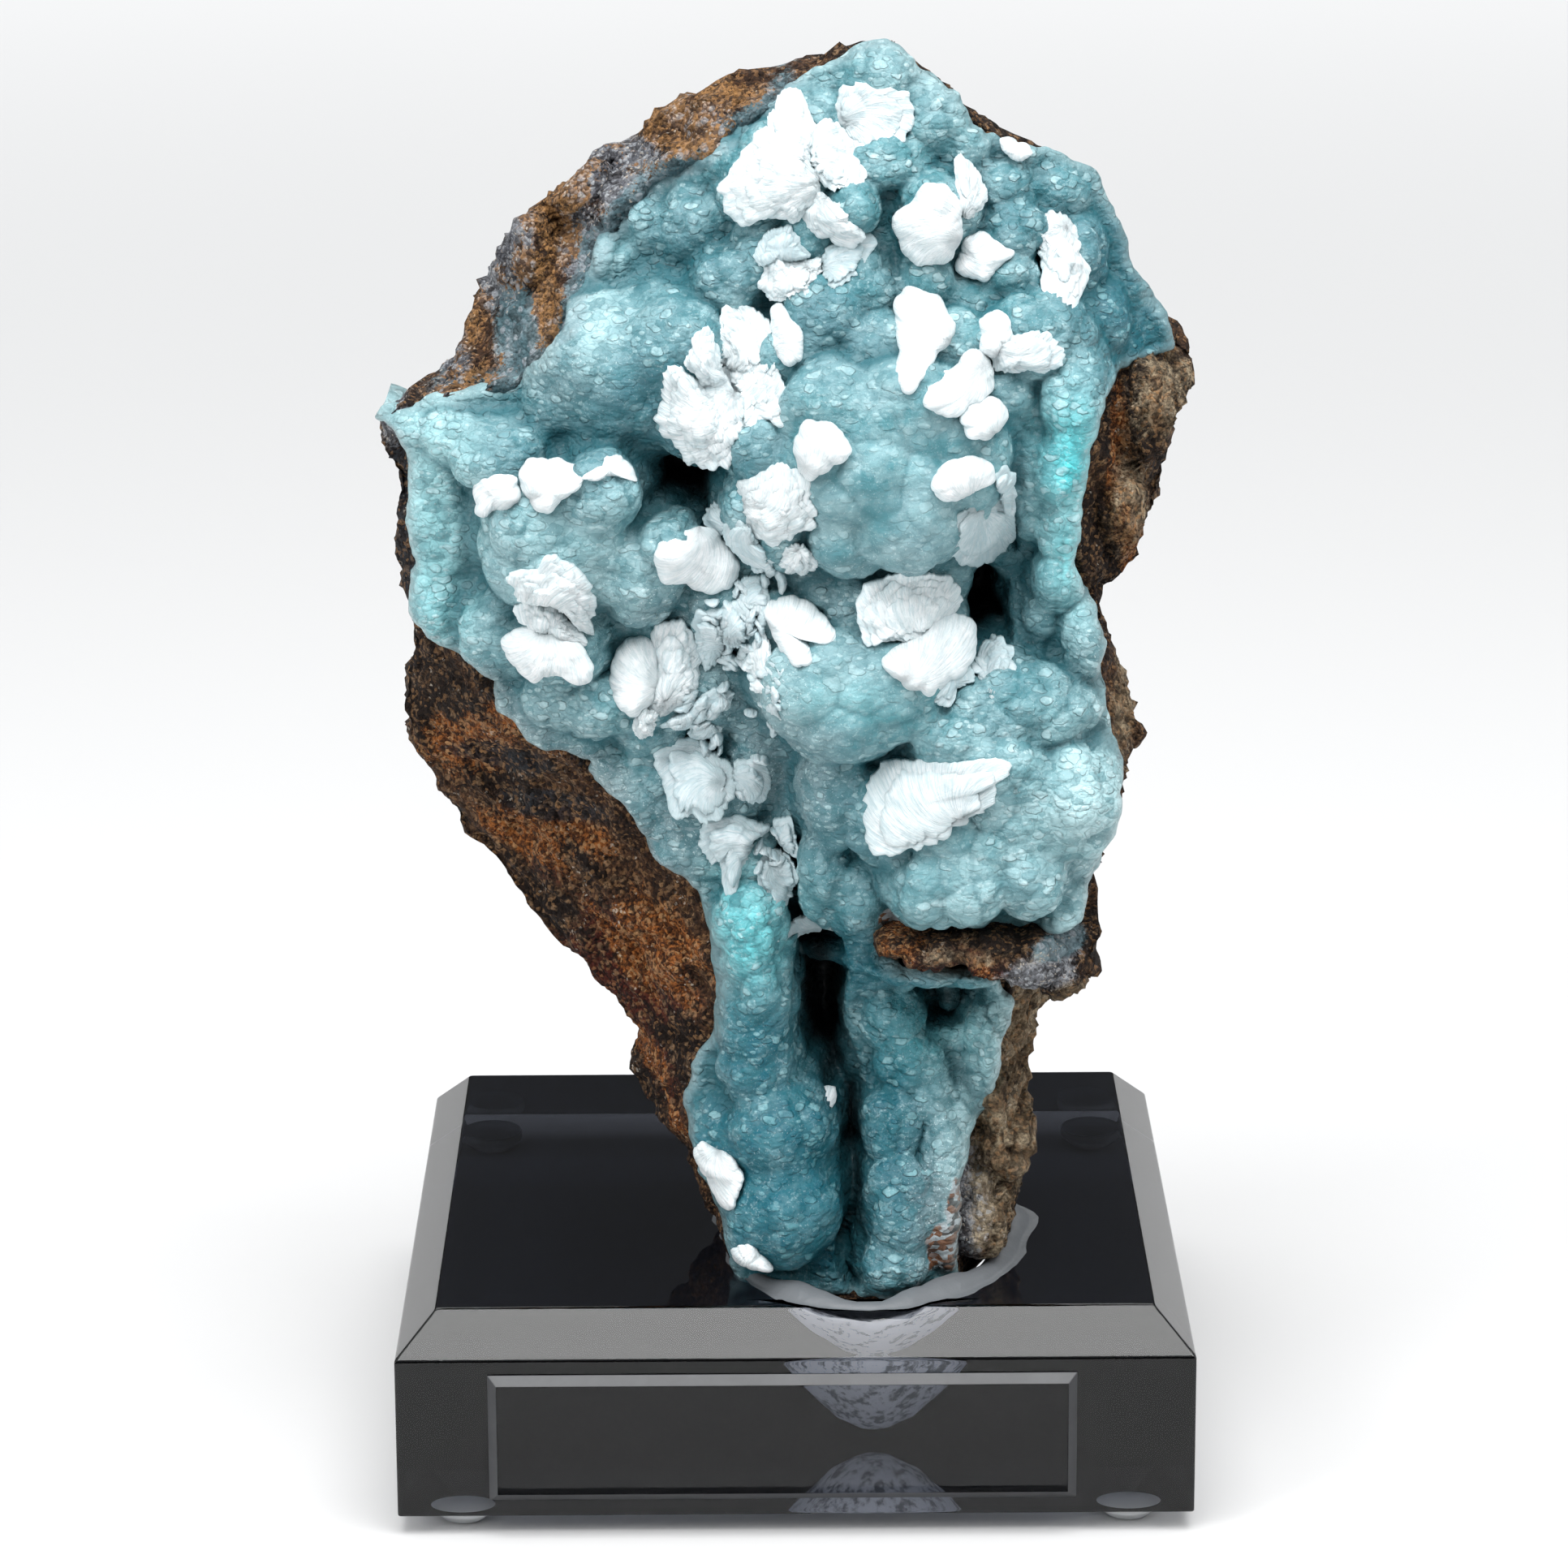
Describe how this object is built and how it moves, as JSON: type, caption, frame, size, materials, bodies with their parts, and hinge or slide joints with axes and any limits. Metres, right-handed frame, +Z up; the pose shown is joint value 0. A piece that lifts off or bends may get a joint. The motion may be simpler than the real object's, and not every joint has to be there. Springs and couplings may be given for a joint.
{
  "type": "smithsonite specimen",
  "caption": "Blue-green botryoidal mineral crust with white calcite fans on brown rock, its foot set in a bevelled clear block with a bare label plate.",
  "frame": {"origin": "centre of the bounding box's bottom: on the surface that the feet stand on, under the middle of the whole piece", "axes": "+Z up along the specimen's height, -Y towards the label side, +X to the right as seen from the label side"},
  "size_m": [0.1293, 0.1288, 0.232],
  "materials": {
    "acrylic": "polished",
    "label_acrylic": "polished",
    "bumper": "gloss",
    "gossan": "matte",
    "smithsonite": "satin",
    "calcite": "satin"
  },
  "bodies": {
    "root": {"acrylic_base": "acrylic", "label_plate": "label_acrylic", "foot_front_left": "bumper", "foot_front_right": "bumper", "foot_back_left": "bumper", "foot_back_right": "bumper", "gossan_matrix": "gossan", "smithsonite_crust": "smithsonite", "calcite_crown_spray": "calcite", "calcite_crest_fan": "calcite", "calcite_small_fan": "calcite", "calcite_upper_spray": "calcite", "calcite_right_edge_fan": "calcite", "calcite_upper_ball": "calcite", "calcite_upper_pair": "calcite", "calcite_oval_ball": "calcite", "calcite_twin_fans": "calcite", "calcite_centre_fan": "calcite", "calcite_centre_ball": "calcite", "calcite_right_fan": "calcite", "calcite_wing_strip": "calcite", "calcite_wing_drop": "calcite", "calcite_wing_fan": "calcite", "calcite_wing_ball": "calcite", "calcite_shaft_ball": "calcite", "calcite_grey_blades": "calcite", "calcite_heart": "calcite", "calcite_heart_blades": "calcite", "calcite_big_fan": "calcite", "calcite_grey_tuft": "calcite", "calcite_shaft_fans": "calcite", "calcite_lower_fan": "calcite", "calcite_right_spray": "calcite", "calcite_foot_ball": "calcite", "calcite_foot_drop": "calcite", "calcite_speck": "calcite", "calcite_rim_ball": "calcite"}
  },
  "joints": []
}
